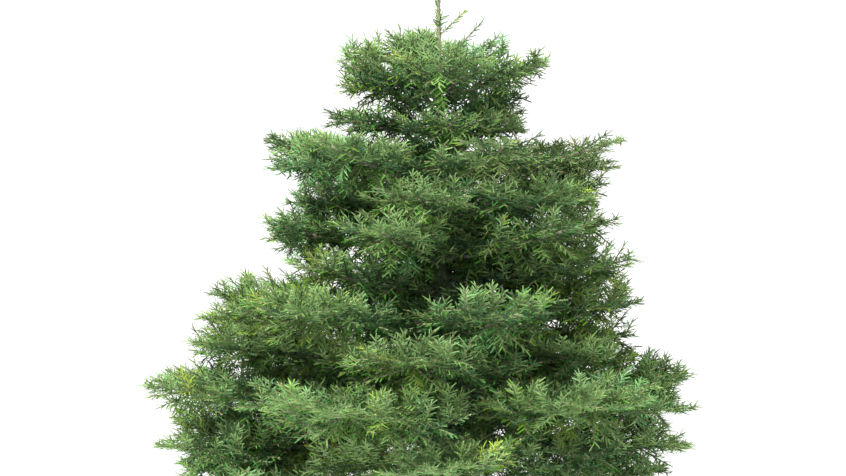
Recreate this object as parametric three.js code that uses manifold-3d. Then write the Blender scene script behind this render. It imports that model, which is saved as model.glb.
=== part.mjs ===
// A cut fir for indoors, about 1.9 m tall and 1.65 m wide, screwed down on a plain cross of two wooden beams.
// Millimetres, +Z up. The origin is on the floor, under the middle of the cross, and -Y is the front.
import * as THREE from "three";
import { mergeVertices } from "three/addons/utils/BufferGeometryUtils.js";
import Module from "manifold-3d";

const wasm = await Module();
wasm.setup();

// The whole tree
const TREE_HEIGHT = 1890;
const GAP = 0.3; // between pieces that touch
const SMALLEST_DETAIL = 0.4;
const UP = new THREE.Vector3(0, 0, 1);
const SEED = 11; // another gives another tree of the same form

// The stand: two beams halved into each other, flat on the floor
const BEAM_LENGTH = 600;
const BEAM_WIDTH = 78;
const BEAM_HEIGHT = 44;

// The trunk, cut flat where it stands on the beams and running whole to the tip of the leader
const BUTT_HEIGHT = BEAM_HEIGHT + GAP;
const BUTT_RADIUS = 37;
const TIP_RADIUS = 3.5;
const TAPER = 1.1;
const ROOT_FLARE = 5;
const FLARE_HEIGHT = 45;
const SWAY = 7;
const TRUNK_SIDES = 16;
const TRUNK_RINGS = 14;

// The tiers of boughs, from the top down. In each, height is where the boughs leave the trunk, left and right are
// how far they reach from its middle, rise is how much higher their tips are, back_lift is what those at the back
// add to that, and sag is how far a bough hangs below a straight line at half way.
const TIERS = [
  {
    name: "whorl_1", height: 1500, left: 309, right: 336, rise: 120, back_lift: 45, sag: 8,
    azimuths: [352, 68, 112, 186, 268],
  },
  {
    name: "between_1", height: 1386, left: 358, right: 262, rise: 66, back_lift: 0, sag: 6,
    azimuths: [18, 166, 276],
  },
  {
    name: "whorl_2", height: 1266, left: 535, right: 550, rise: 118, back_lift: -30, sag: 18,
    azimuths: [350, 50, 110, 170, 230, 290],
  },
  {
    name: "between_2", height: 1152, left: 460, right: 530, rise: 80, back_lift: 10, sag: 8,
    azimuths: [20, 142, 262],
  },
  {
    name: "whorl_3", height: 1038, left: 535, right: 560, rise: 100, back_lift: 20, sag: 10,
    azimuths: [10, 70, 128, 190, 250, 312],
  },
  {
    name: "between_3", height: 939, left: 480, right: 590, rise: 80, back_lift: 10, sag: 8,
    azimuths: [340, 100, 212],
  },
  {
    name: "whorl_4", height: 822, left: 725, right: 605, rise: 84, back_lift: 20, sag: 14,
    azimuths: [346, 46, 106, 167, 226, 286],
  },
  {
    name: "between_4", height: 717, left: 755, right: 595, rise: 66, back_lift: 10, sag: 12,
    azimuths: [16, 100, 192, 262],
  },
  {
    name: "whorl_5", height: 597, left: 885, right: 765, rise: 54, back_lift: 20, sag: 18,
    azimuths: [8, 68, 130, 184, 248, 310],
  },
  {
    name: "between_5", height: 486, left: 848, right: 755, rise: 12, back_lift: 20, sag: 16,
    azimuths: [342, 80, 164, 270],
  },
  {
    name: "whorl_6", height: 366, left: 800, right: 700, rise: 16, back_lift: 10, sag: 18,
    azimuths: [4, 76, 142, 208, 282],
  },
];

// A bough, and the foliage on it
const BACK_HIGHER = 27; // than those at the sides, and the front as much lower
const BOUGH_JITTER = 8; // in height at the trunk
const BOUGH_BEND = 26; // sideways
const BARE_TIER = "whorl_6"; // the lowest, whose boughs are bare at first
const BARE_SHARE = 0.3; // of their reach
const BOUGH_SIDES = 8;
const STEM_SIDES = 3;
const STEM_SLIM = 0.8; // of the bough's radius, where foliage covers it
const STEM_STEP = 170;
const WOOD_RADIUS = 3; // at the tip of a bough's wood
const WOOD_SWELL = 0.0105; // what its radius gains for each millimetre back from the tip
const STEM_END = 0.84; // of the reach, where the spray at the tip takes over
const PAIR_SPACING = 105;
const FIRST_PAIR = 0.2;
const SIDE_SHARE = 0.62; // a side spray's length, as a share of what is left of the bough beyond it
const SIDE_EXTRA = 80;
const SHORTEST_SPRAY = 70;
const RETRY_SHARE = 0.96;
const SIDE_SPREAD = 16; // degrees, from the least to the most
const CLIMB_LEAST = -0.05; // how steeply a side spray climbs from its bough
const CLIMB_MOST = 0.15;
const ROLL_LEAST = 0.8; // how far it is turned, its edge nearer the trunk upward
const ROLL_MOST = 1.1;
const TIP_ROLL = 0.45; // the most for the spray at the tip, either way
const SIDE_ANGLE = 58; // degrees between a side spray and its bough, near the trunk
const ANGLE_LOSS = 14; // and how much less it is near the tip

// The space that a bough's foliage keeps to: a sector, and a layer that ends halfway to the tiers above and below
const SECTOR_MOST = 48; // degrees to each side of a bough
const SECTOR_MARGIN = 1;
const LAYER_MARGIN = 1.5;
const OPEN_ABOVE = 130; // of the topmost tier
const OPEN_BELOW = 70; // of the lowest

// A spray of needles, as a toothed blade. Each point of a side is [share of the length, share of the half width].
const SPRAY_WIDTH = 72; // half of it, on the longest
const SPRAY_SLIM = 0.32; // its share of the length, on shorter ones
const SPRAY_THIN = 2; // half of its thickness, on shorter ones
const SPRAY_THICK = 0.011; // and its share of the length, on longer ones
const SPRAY_ROOT = 3; // how far beyond the stem's middle it begins
const LONG_SPRAY = 230;
const LONG_SIDE = [[0.33, 0.95], [0.46, 0.5], [0.58, 1], [0.69, 0.46], [0.81, 0.72]];
const SHORT_SIDE = [[0.4, 1], [0.57, 0.5], [0.73, 0.76]];
const INNER_SIDE = [[0.42, 1]]; // of one inside the crown, with no teeth
const INNER_SHARE = 0.45; // of a bough's reach

// The needles round the leader
const LEADER_FOOT = 1588;
const LEADER_TOP = 1868;
const LEADER_ROOM = 42;
const SLEEVE_THICKNESS = 2.4;
const NEEDLE_LENGTH = 27;
const LEADER_NEEDLES = 26;
const GOLDEN_ANGLE = THREE.MathUtils.degToRad(137.5);

const bark = new THREE.MeshStandardMaterial({ color: 0x6b5d4c, roughness: 0.9, metalness: 0 });
const foliage = new THREE.MeshStandardMaterial({ color: 0x49703a, roughness: 0.7, metalness: 0 });
const beam = new THREE.MeshStandardMaterial({ color: 0xc9a36b, roughness: 0.65, metalness: 0 });

// The same numbers each time, from 0 to 1, for one seed.
function seeded(seed) {
  let state = seed;
  const next = () => {
    state = (state * 16807) % 2147483647;
    return state / 2147483647;
  };
  for (let i = 0; i < 4; i++) next();
  return next;
}

function solidOf(geometry) {
  const plain = geometry.clone();
  plain.deleteAttribute("normal");
  plain.deleteAttribute("uv");
  const merged = mergeVertices(plain, 1e-4);
  return new wasm.Manifold(
    new wasm.Mesh({
      numProp: 3,
      vertProperties: new Float32Array(merged.attributes.position.array),
      triVerts: new Uint32Array(merged.index.array),
    }),
  );
}

function geometryOf(solid) {
  const mesh = solid.getMesh();
  const geometry = new THREE.BufferGeometry();
  geometry.setAttribute("position", new THREE.BufferAttribute(new Float32Array(mesh.vertProperties), 3));
  geometry.setIndex(new THREE.BufferAttribute(new Uint32Array(mesh.triVerts), 1));
  geometry.computeVertexNormals();
  return geometry;
}

function indexed(points, faces) {
  const geometry = new THREE.BufferGeometry().setFromPoints(points);
  geometry.setIndex(faces);
  return geometry;
}

// A closed tapering limb, lofted through rings set square to a curve.
function limb(curve, radiusAt, sides, steps, from = 0, to = 1) {
  const points = [];
  const faces = [];
  for (let i = 0; i <= steps; i++) {
    const t = from + ((to - from) * i) / steps;
    const centre = curve.getPoint(t);
    const along = curve.getTangent(t);
    const across = new THREE.Vector3().crossVectors(UP, along).normalize();
    const over = new THREE.Vector3().crossVectors(along, across);
    for (let k = 0; k < sides; k++) {
      const turn = (2 * Math.PI * k) / sides + Math.PI / 2;
      points.push(
        centre
          .clone()
          .addScaledVector(across, Math.cos(turn) * radiusAt(t))
          .addScaledVector(over, Math.sin(turn) * radiusAt(t)),
      );
    }
  }
  for (let i = 0; i < steps; i++)
    for (let k = 0; k < sides; k++) {
      const a = i * sides + k;
      const b = i * sides + ((k + 1) % sides);
      faces.push(a, b, b + sides, a, b + sides, a + sides);
    }
  const last = steps * sides;
  for (let k = 1; k < sides - 1; k++) {
    faces.push(0, k + 1, k);
    faces.push(last, last + k, last + k + 1);
  }
  return indexed(points, faces);
}

// The trunk's radius and middle at a height.
function trunkRadius(z) {
  const left = Math.max(0, 1 - z / TREE_HEIGHT);
  const flare = ROOT_FLARE * Math.exp((BUTT_HEIGHT - z) / FLARE_HEIGHT);
  return TIP_RADIUS + (BUTT_RADIUS - TIP_RADIUS) * left ** TAPER + flare;
}

function trunkMiddle(z) {
  const share = z / TREE_HEIGHT;
  return new THREE.Vector3(SWAY * Math.sin(Math.PI * share), SWAY * 0.6 * Math.sin(2 * Math.PI * share), z);
}

// The trunk turned on its axis, then swayed. A clearance makes the same shape a little thicker, to cut with.
function trunkGeometry(clearance = 0) {
  const profile = [new THREE.Vector2(0, BUTT_HEIGHT)];
  for (let i = 0; i <= TRUNK_RINGS; i++) {
    const z = BUTT_HEIGHT + (TREE_HEIGHT - BUTT_HEIGHT) * (i / TRUNK_RINGS) ** 1.2;
    profile.push(new THREE.Vector2(trunkRadius(z) + clearance, z));
  }
  profile.push(new THREE.Vector2(0, TREE_HEIGHT));
  const turned = new THREE.LatheGeometry(profile, TRUNK_SIDES).rotateX(Math.PI / 2);
  const places = turned.attributes.position;
  for (let i = 0; i < places.count; i++) {
    const middle = trunkMiddle(places.getZ(i));
    places.setX(i, places.getX(i) + middle.x);
    places.setY(i, places.getY(i) + middle.y);
  }
  return turned;
}

// How far a tier's boughs reach on a bearing, and how high the middle of its layer is there.
function reachAt(tier, turn) {
  return (tier.right + tier.left) / 2 + ((tier.right - tier.left) / 2) * Math.cos(turn);
}

function layerHeight(tier, turn, share) {
  const rise = tier.rise + tier.back_lift * Math.max(0, Math.sin(turn));
  return tier.height + BACK_HIGHER * Math.sin(turn) + rise * share - 4 * tier.sag * share * (1 - share);
}

// One bough's line, from the trunk's middle at 0 to its furthest needle at 1.
class BoughLine extends THREE.Curve {
  constructor(tier, azimuth, random) {
    super();
    this.tier = tier;
    this.turn = THREE.MathUtils.degToRad(azimuth);
    this.reach = reachAt(tier, this.turn);
    this.middle = trunkMiddle(tier.height);
    this.shift = BOUGH_JITTER * (2 * random() - 1);
    this.bend = BOUGH_BEND * (2 * random() - 1);
  }

  getPoint(share, target = new THREE.Vector3()) {
    const sideways = 4 * this.bend * share ** 2 * (1 - share);
    target.set(this.reach * share, sideways, 0).applyAxisAngle(UP, this.turn).add(this.middle);
    target.z = layerHeight(this.tier, this.turn, share) + this.shift * (1 - share);
    return target;
  }

  woodRadius(share) {
    return WOOD_RADIUS + WOOD_SWELL * this.reach * (1 - share);
  }
}

// The azimuths halfway to the boughs on either side, as offsets from this one.
function sectorOf(azimuths, azimuth) {
  const ahead = azimuths.filter((a) => a !== azimuth).map((a) => (a - azimuth + 720) % 360);
  const half = (degrees) => Math.min(degrees / 2, SECTOR_MOST) - SECTOR_MARGIN;
  return { low: -half(360 - Math.max(...ahead)), high: half(Math.min(...ahead)) };
}

// Whether a point is in the space of a bough's foliage.
function inSpace(point, line, sector) {
  const x = point.x - line.middle.x;
  const y = point.y - line.middle.y;
  const distance = Math.hypot(x, y);
  const turn = Math.atan2(y, x);
  const offset = ((THREE.MathUtils.radToDeg(turn - line.turn) + 900) % 360) - 180;
  if (offset < sector.low || offset > sector.high) return false;
  if (distance < LEADER_ROOM && point.z > LEADER_FOOT) return false;
  const tierNumber = TIERS.indexOf(line.tier);
  const levelOf = (tier) => layerHeight(tier, turn, distance / reachAt(tier, turn));
  const level = levelOf(line.tier);
  const above = TIERS[tierNumber - 1];
  const below = TIERS[tierNumber + 1];
  const top = above ? (levelOf(above) + level) / 2 - LAYER_MARGIN : level + OPEN_ABOVE;
  const bottom = below ? (levelOf(below) + level) / 2 + LAYER_MARGIN : level - OPEN_BELOW;
  return distance <= reachAt(line.tier, turn) && point.z > bottom && point.z < top;
}

// The points and faces of a toothed blade, thickest along its middle: a shoot with its needles.
function sprayGeometry(root, along, length, roll, inner = false) {
  const halfWidth = Math.min(SPRAY_WIDTH, length * SPRAY_SLIM);
  const halfThickness = Math.max(SPRAY_THIN, length * SPRAY_THICK);
  const across = new THREE.Vector3().crossVectors(UP, along).normalize().applyAxisAngle(along, roll);
  const lift = new THREE.Vector3().crossVectors(along, across);
  const at = (u, v, w) =>
    root.clone().addScaledVector(along, u).addScaledVector(across, v).addScaledVector(lift, w);
  const long = length >= LONG_SPRAY && !inner;
  const shape = inner ? INNER_SIDE : long ? LONG_SIDE : SHORT_SIDE;
  const teeth = shape.map(([u, v]) => [u * length, v * halfWidth]);
  const back = teeth.map(([u, v]) => [u, -v]).reverse();
  const outline = [[-SPRAY_ROOT, 0], ...teeth, [length, 0], ...back];
  const count = outline.length;
  const ridge = (long ? [0.2, 0.66] : [0.5]).map((share) => share * length);
  const points = [
    ...outline.map(([u, v]) => at(u, v, 0)),
    ...ridge.map((u) => at(u, 0, halfThickness)),
    ...ridge.map((u) => at(u, 0, -halfThickness)),
  ];
  const nearest = outline.map(([u], i) => {
    const middle = (u + outline[(i + 1) % count][0]) / 2;
    return ridge.length > 1 && middle > length * 0.45 ? 1 : 0;
  });
  const faces = [];
  for (let i = 0; i < count; i++) {
    const next = (i + 1) % count;
    const above = count + nearest[i];
    const below = above + ridge.length;
    faces.push(next, i, above, i, next, below);
    const before = nearest[(i + count - 1) % count];
    if (before !== nearest[i]) {
      faces.push(i, count + before, above);
      faces.push(i, below, count + ridge.length + before);
    }
  }
  return { geometry: indexed(points, faces), points };
}

// A bough's foliage: a three-sided stem, a spray at its tip and pairs of side sprays. A side spray that would leave
// the space is tried again, a little shorter and turned another way, and skipped once it is too short.
function massSolid(line, sector, from, random) {
  const radiusAt = (share) => line.woodRadius(share) * STEM_SLIM;
  const steps = Math.max(3, Math.round(line.reach / STEM_STEP));
  const pieces = [solidOf(limb(line, radiusAt, STEM_SIDES, steps, from, STEM_END))];
  const tipRoot = line.getPoint(STEM_END - 0.03);
  const toTip = line.getPoint(1).sub(tipRoot);
  const tipRoll = TIP_ROLL * (2 * random() - 1);
  const tip = sprayGeometry(tipRoot, toTip.clone().normalize(), toTip.length(), tipRoll);
  pieces.push(solidOf(tip.geometry));
  const first = Math.max(from + 0.05, FIRST_PAIR);
  const pairs = Math.max(2, Math.round(((STEM_END - first) * line.reach) / PAIR_SPACING));
  for (let i = 0; i < pairs; i++)
    for (const hand of [-1, 1]) {
      const share = first + ((STEM_END - first) * (i + 0.3 + 0.3 * random())) / pairs;
      const root = line.getPoint(share);
      let length = SIDE_SHARE * (1 - share) * line.reach + SIDE_EXTRA;
      for (; length > SHORTEST_SPRAY; length *= RETRY_SHARE) {
        const angle = THREE.MathUtils.degToRad(SIDE_ANGLE - ANGLE_LOSS * share + SIDE_SPREAD * (random() - 0.5));
        const along = line.getTangent(share).applyAxisAngle(UP, hand * angle);
        along.z += CLIMB_LEAST + (CLIMB_MOST - CLIMB_LEAST) * random();
        const roll = hand * (ROLL_LEAST + (ROLL_MOST - ROLL_LEAST) * random());
        const inner = share < INNER_SHARE;
        const spray = sprayGeometry(root, along.normalize(), length, roll, inner);
        if (spray.points.slice(1).every((point) => inSpace(point, line, sector))) {
          pieces.push(solidOf(spray.geometry));
          break;
        }
      }
    }
  return wasm.Manifold.union(pieces).simplify(SMALLEST_DETAIL);
}

const tree = new THREE.Group();

function addNode(name, geometry, material) {
  const mesh = new THREE.Mesh(geometry, material);
  mesh.name = name;
  tree.add(mesh);
  return mesh;
}

addNode("trunk", trunkGeometry(), bark);
const trunkCutter = solidOf(trunkGeometry(GAP));

// Boughs and foliage, tier by tier
TIERS.forEach((tier, tierNumber) => {
  tier.azimuths.forEach((azimuth, i) => {
    const random = seeded(SEED + 1000 * tierNumber + 37 * i);
    const line = new BoughLine(tier, azimuth, random);
    const sector = sectorOf(tier.azimuths, azimuth);
    let from = 0;
    if (tier.name === BARE_TIER) {
      const bough = solidOf(limb(line, (share) => line.woodRadius(share), BOUGH_SIDES, 3, 0, BARE_SHARE));
      addNode(`${tier.name}_bough_${i + 1}`, geometryOf(bough.subtract(trunkCutter)), bark);
      from = BARE_SHARE + GAP / line.reach;
    }
    const mass = massSolid(line, sector, from, random).subtract(trunkCutter);
    addNode(`${tier.name}_foliage_${i + 1}`, geometryOf(mass), foliage);
  });
});

// The leader's needles: a thin sleeve round the trunk's top, from which they stand out and up all round
function leaderSolid() {
  const length = LEADER_TOP - LEADER_FOOT;
  const slab = new THREE.BoxGeometry(200, 200, length).translate(0, 0, LEADER_FOOT + length / 2);
  const sleeve = solidOf(trunkGeometry(SLEEVE_THICKNESS)).intersect(solidOf(slab));
  const pieces = [sleeve];
  for (let i = 0; i < LEADER_NEEDLES; i++) {
    const z = LEADER_FOOT + length * (0.02 + (0.93 * i) / LEADER_NEEDLES);
    const turn = i * GOLDEN_ANGLE;
    const out = new THREE.Vector3(Math.cos(turn), Math.sin(turn), 0);
    const root = trunkMiddle(z).addScaledVector(out, trunkRadius(z) + GAP);
    const along = out.clone().multiplyScalar(0.72).addScaledVector(UP, 0.7).normalize();
    const needle = new THREE.ConeGeometry(2.4, NEEDLE_LENGTH, 3)
      .translate(0, NEEDLE_LENGTH / 2, 0)
      .applyQuaternion(new THREE.Quaternion().setFromUnitVectors(new THREE.Vector3(0, 1, 0), along))
      .translate(...root.toArray());
    pieces.push(solidOf(needle));
  }
  return wasm.Manifold.union(pieces).subtract(trunkCutter);
}
addNode("leader_needles", geometryOf(leaderSolid()), foliage);

// The stand, one beam notched above and the other below
function beamGeometry(notchedAbove) {
  const notch = BEAM_WIDTH / 2 + GAP;
  const half = BEAM_LENGTH / 2;
  const middle = BEAM_HEIGHT / 2 + (notchedAbove ? -GAP / 2 : GAP / 2);
  const [plain, notched] = notchedAbove ? [0, BEAM_HEIGHT] : [BEAM_HEIGHT, 0];
  const outline = new THREE.Shape(
    [
      [-half, plain],
      [half, plain],
      [half, notched],
      [notch, notched],
      [notch, middle],
      [-notch, middle],
      [-notch, notched],
      [-half, notched],
    ].map(([x, z]) => new THREE.Vector2(x, z)),
  );
  return new THREE.ExtrudeGeometry(outline, { depth: BEAM_WIDTH, bevelEnabled: false })
    .rotateX(Math.PI / 2)
    .translate(0, BEAM_WIDTH / 2, 0);
}
addNode("stand_beam_1", beamGeometry(true), beam);
addNode("stand_beam_2", beamGeometry(false), beam).rotation.z = Math.PI / 2;

export default tree;
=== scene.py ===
# The looks of a cut fir on its wooden cross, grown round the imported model. +Z is up and -Y is the front.
# The tree's own rule is reckoned in millimetres, as in the part's source, and each mesh is made in metres.
import math
from collections import namedtuple

import bmesh
import bpy
import numpy as np
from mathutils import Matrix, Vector


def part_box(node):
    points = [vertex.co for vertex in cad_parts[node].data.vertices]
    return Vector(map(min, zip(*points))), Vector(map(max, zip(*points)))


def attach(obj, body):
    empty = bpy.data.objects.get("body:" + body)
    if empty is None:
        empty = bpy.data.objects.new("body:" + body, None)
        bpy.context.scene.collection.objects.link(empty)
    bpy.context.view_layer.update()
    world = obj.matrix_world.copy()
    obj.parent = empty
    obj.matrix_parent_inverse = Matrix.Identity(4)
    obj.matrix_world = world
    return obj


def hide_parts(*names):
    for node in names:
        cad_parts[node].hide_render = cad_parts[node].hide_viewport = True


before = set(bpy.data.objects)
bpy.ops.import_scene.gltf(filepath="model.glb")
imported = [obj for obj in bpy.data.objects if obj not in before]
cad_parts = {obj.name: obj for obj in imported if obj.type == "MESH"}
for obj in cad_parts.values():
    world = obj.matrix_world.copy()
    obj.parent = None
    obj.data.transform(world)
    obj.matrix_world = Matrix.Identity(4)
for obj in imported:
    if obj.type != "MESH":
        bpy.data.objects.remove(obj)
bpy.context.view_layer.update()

# The stand: two planed spruce beams, halved into each other so that they lie level on the floor. They are
# sawn square with their edges eased, and the trunk stands on the crossing, held by a screw from below.
BEAM_EASE = 0.0022
HALVING_GAP = 0.0003
HEART_ASIDE = 0.012
HEART_BELOW = 0.05
YEAR_RING = 0.0055
RING_WANDER = 0.012
FIBRE_STRETCH = 0.04
PLANED = (0.60, 0.42, 0.235)
LATE_WOOD = (0.40, 0.235, 0.11)
KNOT_BROWN = (0.16, 0.075, 0.03)


class Socket:
    """A node's output that is reckoned with like a number, and that starts any other node of its tree."""

    def __init__(self, tree, output=None):
        self.tree = tree
        self.output = output

    def node(self, kind, output, inputs=None, stops=None, **settings):
        made = self.tree.nodes.new(kind)
        for name, value in settings.items():
            setattr(made, name, value)
        for i, (place, colour) in enumerate(stops or []):
            stop = made.color_ramp.elements[i] if i < 2 else made.color_ramp.elements.new(place)
            stop.position = place
            stop.color = (*colour, 1)
        for name, value in (inputs or {}).items():
            if isinstance(value, Socket):
                self.tree.links.new(value.output, made.inputs[name])
            else:
                made.inputs[name].default_value = value
        return Socket(self.tree, made.outputs[output])

    def beside(self, output):
        """Another output of the same node."""
        return Socket(self.tree, self.output.node.outputs[output])

    def maths(self, operation, first, second=0.0):
        return self.node("ShaderNodeMath", "Value", {0: first, 1: second}, operation=operation)

    def __add__(self, other):
        return self.maths("ADD", self, other)

    def __sub__(self, other):
        return self.maths("SUBTRACT", self, other)

    def __rsub__(self, other):
        return self.maths("SUBTRACT", other, self)

    def __mul__(self, other):
        return self.maths("MULTIPLY", self, other)

    __radd__ = __add__
    __rmul__ = __mul__

    def between(self, low, high):
        """This value, brought from low..high to 0..1."""
        return self.node("ShaderNodeMapRange", "Result", {"Value": self, "From Min": low, "From Max": high})

    def mixed(self, first, second):
        """The colour from first to second that this value picks. They are the Mix node's inputs 6 and 7."""
        inputs = {"Factor": self, 6: first, 7: second}
        inputs = {name: (*v, 1) if isinstance(v, tuple) else v for name, v in inputs.items()}
        return self.node("ShaderNodeMix", 2, inputs, data_type="RGBA")

    def noise(self, scale, detail=3.0, stretch=(1, 1, 1)):
        """Noise on this socket's coordinates, stretched along any axis."""
        stretched = self.node("ShaderNodeMapping", "Vector", {"Vector": self, "Scale": stretch})
        return self.node("ShaderNodeTexNoise", 0, {"Vector": stretched, "Scale": scale, "Detail": detail})


def new_material(name, roughness, **plain):
    """A material with its shader, and a Socket of the object's own coordinates to start from."""
    material = bpy.data.materials.new(name)
    material.use_nodes = True
    shader = material.node_tree.nodes["Principled BSDF"]
    shader.inputs["Roughness"].default_value = roughness
    for socket, value in plain.items():
        shader.inputs[socket.replace("_", " ")].default_value = value
    here = Socket(material.node_tree).node("ShaderNodeTexCoord", "Object")
    return material, shader, here


def finish_with(shader, colour, height, depth, roughness=None):
    """Links a colour, a relief of some depth in metres, and a roughness to a shader."""
    links = shader.id_data.links
    links.new(colour.output, shader.inputs["Base Color"])
    bump = height.node("ShaderNodeBump", "Normal", {"Height": height, "Distance": depth})
    links.new(bump.output, shader.inputs["Normal"])
    if roughness:
        links.new(roughness.output, shader.inputs["Roughness"])


def beam_wood(name, lengthwise):
    """Spruce sawn beside the heart, its grain along the axis that lengthwise numbers."""
    material, shader, here = new_material(name, 0.62)
    fine = [1.0, 1.0, 1.0]
    fine[lengthwise] = FIBRE_STRETCH
    parts = [here.node("ShaderNodeSeparateXYZ", axis, {"Vector": here}) for axis in range(3)]
    across = parts[1 - lengthwise] - HEART_ASIDE
    height = parts[2] + HEART_BELOW
    heart = here.maths("SQRT", across * across + height * height)
    wander = here.noise(5.0, 2.0, (3.0, 3.0, 3.0)) * RING_WANDER
    rings = here.maths("SINE", (heart + wander) * (2 * math.pi / YEAR_RING)).between(-0.3, 1.0)
    fibre = here.noise(420.0, 4.0, tuple(fine))
    knots = here.node("ShaderNodeTexVoronoi", "Distance", {"Vector": here, "Scale": 5.5}).between(0.13, 0.07)
    wood = (rings * 0.55 + fibre * 0.3).mixed(PLANED, LATE_WOOD)
    relief = fibre * 0.6 + rings * 0.4
    finish_with(shader, knots.mixed(wood, KNOT_BROWN), relief, 0.0006, fibre.between(-0.6, 1.6))
    return material


def placed(name, data):
    """A new object in the scene, at the origin."""
    made = bpy.data.objects.new(name, data)
    bpy.context.scene.collection.objects.link(made)
    return made


def object_from(name, shape):
    """An object made from a finished bmesh."""
    mesh = bpy.data.meshes.new(name)
    shape.to_mesh(mesh)
    shape.free()
    return placed(name, mesh)


def stand_beam(name, node, lengthwise, notched_above):
    """One beam, from its outline with the notch, as wide as its CAD node and eased along every edge."""
    low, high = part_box(node)
    sideways = 1 - lengthwise
    half_length, half_width = high[lengthwise], high[sideways]
    notch = half_width + HALVING_GAP
    middle = high.z / 2 + (-HALVING_GAP / 2 if notched_above else HALVING_GAP / 2)
    plain, cut = (low.z, high.z) if notched_above else (high.z, low.z)
    outline = [(-half_length, plain), (half_length, plain), (half_length, cut), (notch, cut)]
    outline += [(notch, middle), (-notch, middle), (-notch, cut), (-half_length, cut)]
    shape = bmesh.new()
    corners = []
    for run, z in outline:
        place = [0.0, 0.0, z]
        place[lengthwise] = run
        place[sideways] = -half_width
        corners.append(shape.verts.new(place))
    side = shape.faces.new(corners)
    far = bmesh.ops.extrude_face_region(shape, geom=[side])["geom"]
    shift = [0.0, 0.0, 0.0]
    shift[sideways] = 2 * half_width
    bmesh.ops.translate(shape, vec=shift, verts=[v for v in far if isinstance(v, bmesh.types.BMVert)])
    bmesh.ops.recalc_face_normals(shape, faces=shape.faces)
    beam = object_from(name, shape)
    beam.data.materials.append(beam_wood(f"{name}_wood", lengthwise))
    ease = beam.modifiers.new("eased edges", "BEVEL")
    ease.width = BEAM_EASE
    ease.segments = 2
    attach(beam, "root")
    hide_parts(node)


stand_beam("lower_beam", "stand_beam_1", 0, True)
stand_beam("upper_beam", "stand_beam_2", 1, False)

# The trunk: one fir stem, sawn off flat where it stands on the beams and running whole to the leader's tip.
# Its bark is thin and wrinkled, grey with some lichen, and olive and smoother in its youngest years.
MM = 0.001
UP = np.array([0.0, 0.0, 1.0])
TREE_HEIGHT = 1890
BUTT_HEIGHT = 44.3
BUTT_RADIUS = 37
TIP_RADIUS = 3.5
TAPER = 1.1
ROOT_FLARE = 5
FLARE_HEIGHT = 45
FLUTES = 5
FLUTE_DEPTH = 1.6
FLUTE_HEIGHT = 70
SWAY = 7
TRUNK_SIDES = 48
TRUNK_RINGS = 260
RINGS_CLOSER_BELOW = 1.08
WHORL_HEIGHTS = (366, 597, 822, 1038, 1266, 1500)
COLLAR_SWELL = 2.4
COLLAR_HEIGHT = 15
BARK_RELIEF = 0.7
CHANCE_SEED = 5
YOUNG_BARK_FROM = 1.25
YOUNG_BARK_ALL = 1.62
OLD_BARK = (0.10, 0.08, 0.06)
PALE_BARK = (0.19, 0.165, 0.13)
YOUNG_BARK = (0.12, 0.115, 0.075)
LENTICEL = (0.05, 0.038, 0.028)
LICHEN = (0.235, 0.245, 0.18)
SAWN_FACE = (0.62, 0.46, 0.27)
SAWN_RING = 0.0042


def trunk_radius(z):
    above = np.maximum(0, 1 - z / TREE_HEIGHT)
    flare = ROOT_FLARE * np.exp((BUTT_HEIGHT - z) / FLARE_HEIGHT)
    return TIP_RADIUS + (BUTT_RADIUS - TIP_RADIUS) * above**TAPER + flare


def trunk_middle(z):
    share = z / TREE_HEIGHT
    return np.array([SWAY * math.sin(math.pi * share), SWAY * 0.6 * math.sin(2 * math.pi * share), z])


def bark(name):
    material, shader, here = new_material(name, 0.85, Specular_IOR_Level=0.25)
    height = here.node("ShaderNodeSeparateXYZ", "Z", {"Vector": here})
    patches = here.noise(26.0, 5.0).between(0.38, 0.66)
    spots = here.noise(120.0, 2.0, (1, 1, 4.5)).between(0.64, 0.72)
    wrinkles = here.noise(55.0, 6.0, (1, 1, 5.0))
    tones = [(0.0, OLD_BARK), (0.62, PALE_BARK), (1.0, LICHEN)]
    old = patches.node("ShaderNodeValToRGB", "Color", {"Fac": patches}, stops=tones)
    young = height.between(YOUNG_BARK_FROM, YOUNG_BARK_ALL)
    colour = (spots * 0.8).mixed(young.mixed(old, YOUNG_BARK), LENTICEL)
    relief = (wrinkles + spots * 0.3) * (1 - young * 0.8)
    finish_with(shader, colour, relief, 0.0022, wrinkles.between(-1.2, 1.1))
    return material


def sawn_face(name):
    material, shader, here = new_material(name, 0.7)
    flat = here.node("ShaderNodeMapping", "Vector", {"Vector": here, "Scale": (1, 1, 0)})
    heart = here.node("ShaderNodeVectorMath", "Value", {0: flat}, operation="LENGTH")
    rings = here.maths("SINE", (heart + here.noise(20.0) * 0.002) * (2 * math.pi / SAWN_RING))
    finish_with(shader, (rings * 0.25 + 0.3).mixed(SAWN_FACE, LATE_WOOD), rings, 0.0003)
    return material


def mesh_object(name, materials, points, triangles, slots=None, smooth=False):
    """An object at the origin from points in millimetres and triangles, riding on the one body."""
    mesh = bpy.data.meshes.new(name)
    mesh.vertices.add(len(points))
    mesh.vertices.foreach_set("co", (points * MM).astype(np.float32).ravel())
    mesh.loops.add(triangles.size)
    mesh.loops.foreach_set("vertex_index", triangles.astype(np.int32).ravel())
    mesh.polygons.add(len(triangles))
    mesh.polygons.foreach_set("loop_start", np.arange(0, triangles.size, 3, dtype=np.int32))
    mesh.polygons.foreach_set("use_smooth", np.full(len(triangles), smooth))
    if slots is not None:
        mesh.polygons.foreach_set("material_index", slots.astype(np.int32))
    mesh.update(calc_edges=True)
    for material in materials:
        mesh.materials.append(material)
    made = placed(name, mesh)
    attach(made, "root")
    return made


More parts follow.
